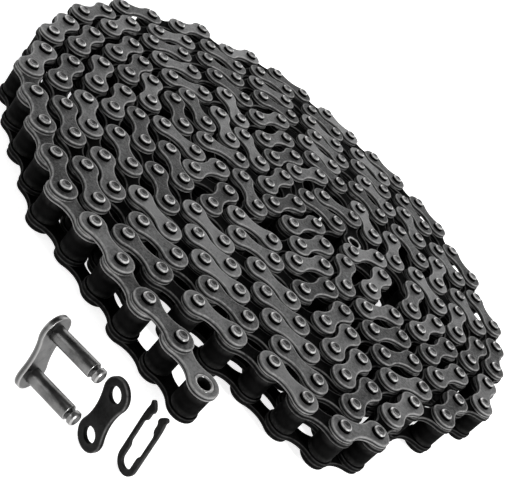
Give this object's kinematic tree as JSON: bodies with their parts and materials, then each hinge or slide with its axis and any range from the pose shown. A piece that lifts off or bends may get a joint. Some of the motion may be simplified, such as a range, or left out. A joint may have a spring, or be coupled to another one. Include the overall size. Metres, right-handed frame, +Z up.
{
  "type": "roller drive chain",
  "caption": "Half-inch-pitch roller drive chain wound flat into a disk, with a free end that bends pin by pin and the loose pieces of its spring-clip connecting link.",
  "frame": {"origin": "middle of the whole layout on the floor plane that the lower pin ends rest on", "axes": "+Z up along the chain pins; -Y towards the loose connecting link; +X to the right as seen from that side"},
  "size_m": [0.1904, 0.2202, 0.021],
  "materials": {
    "black_oxide_plate": "satin black oxide, blanked plate",
    "turned_black_steel": "oiled black oxide, turned",
    "bright_steel": "bare ground steel",
    "spring_steel": "blued spring steel"
  },
  "bodies": {
    "coil": {"coil_outer_plates_upper": "black_oxide_plate", "coil_outer_plates_lower": "black_oxide_plate", "coil_inner_plates_upper": "black_oxide_plate", "coil_inner_plates_lower": "black_oxide_plate", "coil_pins": "turned_black_steel", "coil_bushings": "turned_black_steel", "coil_rollers": "turned_black_steel"},
    "inner_link_5": {"inner_link_5_plate_upper": "black_oxide_plate", "inner_link_5_plate_lower": "black_oxide_plate", "inner_link_5_bushing_a": "turned_black_steel", "inner_link_5_bushing_b": "turned_black_steel"},
    "outer_link_4": {"outer_link_4_plate_upper": "black_oxide_plate", "outer_link_4_plate_lower": "black_oxide_plate", "outer_link_4_pin_a": "turned_black_steel", "outer_link_4_pin_b": "turned_black_steel"},
    "inner_link_4": {"inner_link_4_plate_upper": "black_oxide_plate", "inner_link_4_plate_lower": "black_oxide_plate", "inner_link_4_bushing_a": "turned_black_steel", "inner_link_4_bushing_b": "turned_black_steel"},
    "outer_link_3": {"outer_link_3_plate_upper": "black_oxide_plate", "outer_link_3_plate_lower": "black_oxide_plate", "outer_link_3_pin_a": "turned_black_steel", "outer_link_3_pin_b": "turned_black_steel"},
    "inner_link_3": {"inner_link_3_plate_upper": "black_oxide_plate", "inner_link_3_plate_lower": "black_oxide_plate", "inner_link_3_bushing_a": "turned_black_steel", "inner_link_3_bushing_b": "turned_black_steel"},
    "outer_link_2": {"outer_link_2_plate_upper": "black_oxide_plate", "outer_link_2_plate_lower": "black_oxide_plate", "outer_link_2_pin_a": "turned_black_steel", "outer_link_2_pin_b": "turned_black_steel"},
    "inner_link_2": {"inner_link_2_plate_upper": "black_oxide_plate", "inner_link_2_plate_lower": "black_oxide_plate", "inner_link_2_bushing_a": "turned_black_steel", "inner_link_2_bushing_b": "turned_black_steel"},
    "outer_link_1": {"outer_link_1_plate_upper": "black_oxide_plate", "outer_link_1_plate_lower": "black_oxide_plate", "outer_link_1_pin_a": "turned_black_steel", "outer_link_1_pin_b": "turned_black_steel"},
    "inner_link_1": {"inner_link_1_plate_upper": "black_oxide_plate", "inner_link_1_plate_lower": "black_oxide_plate", "inner_link_1_bushing_a": "turned_black_steel", "inner_link_1_bushing_b": "turned_black_steel"},
    "inner_link_5_roller_a": {"inner_link_5_roller_a": "turned_black_steel"},
    "inner_link_5_roller_b": {"inner_link_5_roller_b": "turned_black_steel"},
    "inner_link_4_roller_a": {"inner_link_4_roller_a": "turned_black_steel"},
    "inner_link_4_roller_b": {"inner_link_4_roller_b": "turned_black_steel"},
    "inner_link_3_roller_a": {"inner_link_3_roller_a": "turned_black_steel"},
    "inner_link_3_roller_b": {"inner_link_3_roller_b": "turned_black_steel"},
    "inner_link_2_roller_a": {"inner_link_2_roller_a": "turned_black_steel"},
    "inner_link_2_roller_b": {"inner_link_2_roller_b": "turned_black_steel"},
    "inner_link_1_roller_a": {"inner_link_1_roller_a": "turned_black_steel"},
    "inner_link_1_roller_b": {"inner_link_1_roller_b": "turned_black_steel"},
    "connecting_link": {"connecting_link_plate": "bright_steel", "connecting_link_pin_lower": "bright_steel", "connecting_link_pin_upper": "bright_steel"},
    "cover_plate": {"cover_plate": "black_oxide_plate"},
    "spring_clip": {"spring_clip": "spring_steel"}
  },
  "joints": [
    {"name": "hinge_9", "type": "hinge", "parent": "coil", "child": "inner_link_5", "pos_m": [-0.07981, -0.02047, 0.0083], "axis": [0, 0, 1], "range_deg": [-11, 0]},
    {"name": "hinge_8", "type": "hinge", "parent": "inner_link_5", "child": "outer_link_4", "pos_m": [-0.07163, -0.03019, 0.0083], "axis": [0, 0, 1], "range_deg": [-12, 0]},
    {"name": "hinge_7", "type": "hinge", "parent": "outer_link_4", "child": "inner_link_4", "pos_m": [-0.06273, -0.03925, 0.0083], "axis": [0, 0, 1], "range_deg": [-13, 0]},
    {"name": "hinge_6", "type": "hinge", "parent": "inner_link_4", "child": "outer_link_3", "pos_m": [-0.0531, -0.04752, 0.0083], "axis": [0, 0, 1], "range_deg": [-15, 0]},
    {"name": "hinge_5", "type": "hinge", "parent": "outer_link_3", "child": "inner_link_3", "pos_m": [-0.04399, -0.05638, 0.0083], "axis": [0, 0, 1], "range_deg": [-18, 0]},
    {"name": "hinge_4", "type": "hinge", "parent": "inner_link_3", "child": "outer_link_2", "pos_m": [-0.03174, -0.05971, 0.0083], "axis": [0, 0, 1], "range_deg": [-24, 4]},
    {"name": "hinge_3", "type": "hinge", "parent": "outer_link_2", "child": "inner_link_2", "pos_m": [-0.01984, -0.06416, 0.0083], "axis": [0, 0, 1], "range_deg": [-34, 3]},
    {"name": "hinge_2", "type": "hinge", "parent": "inner_link_2", "child": "outer_link_1", "pos_m": [-0.00814, -0.06908, 0.0083], "axis": [0, 0, 1], "range_deg": [-60, 10]},
    {"name": "hinge_1", "type": "hinge", "parent": "outer_link_1", "child": "inner_link_1", "pos_m": [0.00421, -0.07205, 0.0083], "axis": [0, 0, 1], "range_deg": [-60, 20]},
    {"name": "inner_link_5_roller_a_spin", "type": "hinge", "parent": "inner_link_5", "child": "inner_link_5_roller_a", "pos_m": [-0.07163, -0.03019, 0.0083], "axis": [0, 0, 1], "continuous": true},
    {"name": "inner_link_5_roller_b_spin", "type": "hinge", "parent": "inner_link_5", "child": "inner_link_5_roller_b", "pos_m": [-0.07981, -0.02047, 0.0083], "axis": [0, 0, 1], "continuous": true},
    {"name": "inner_link_4_roller_a_spin", "type": "hinge", "parent": "inner_link_4", "child": "inner_link_4_roller_a", "pos_m": [-0.0531, -0.04752, 0.0083], "axis": [0, 0, 1], "continuous": true},
    {"name": "inner_link_4_roller_b_spin", "type": "hinge", "parent": "inner_link_4", "child": "inner_link_4_roller_b", "pos_m": [-0.06273, -0.03925, 0.0083], "axis": [0, 0, 1], "continuous": true},
    {"name": "inner_link_3_roller_a_spin", "type": "hinge", "parent": "inner_link_3", "child": "inner_link_3_roller_a", "pos_m": [-0.03174, -0.05971, 0.0083], "axis": [0, 0, 1], "continuous": true},
    {"name": "inner_link_3_roller_b_spin", "type": "hinge", "parent": "inner_link_3", "child": "inner_link_3_roller_b", "pos_m": [-0.04399, -0.05638, 0.0083], "axis": [0, 0, 1], "continuous": true},
    {"name": "inner_link_2_roller_a_spin", "type": "hinge", "parent": "inner_link_2", "child": "inner_link_2_roller_a", "pos_m": [-0.00814, -0.06908, 0.0083], "axis": [0, 0, 1], "continuous": true},
    {"name": "inner_link_2_roller_b_spin", "type": "hinge", "parent": "inner_link_2", "child": "inner_link_2_roller_b", "pos_m": [-0.01984, -0.06416, 0.0083], "axis": [0, 0, 1], "continuous": true},
    {"name": "inner_link_1_roller_a_spin", "type": "hinge", "parent": "inner_link_1", "child": "inner_link_1_roller_a", "pos_m": [0.01574, -0.07737, 0.0083], "axis": [0, 0, 1], "continuous": true},
    {"name": "inner_link_1_roller_b_spin", "type": "hinge", "parent": "inner_link_1", "child": "inner_link_1_roller_b", "pos_m": [0.00421, -0.07205, 0.0083], "axis": [0, 0, 1], "continuous": true},
    {"name": "connecting_link_lift", "type": "slide", "parent": "coil", "child": "connecting_link", "axis": [0, 0, 1], "range_m": [0, 0.03]},
    {"name": "cover_plate_lift", "type": "slide", "parent": "coil", "child": "cover_plate", "axis": [0, 0, 1], "range_m": [0, 0.03]},
    {"name": "spring_clip_slide", "type": "slide", "parent": "coil", "child": "spring_clip", "axis": [-0.1368, 0.0923, 0.9863], "range_m": [0, 0.02]}
  ]
}
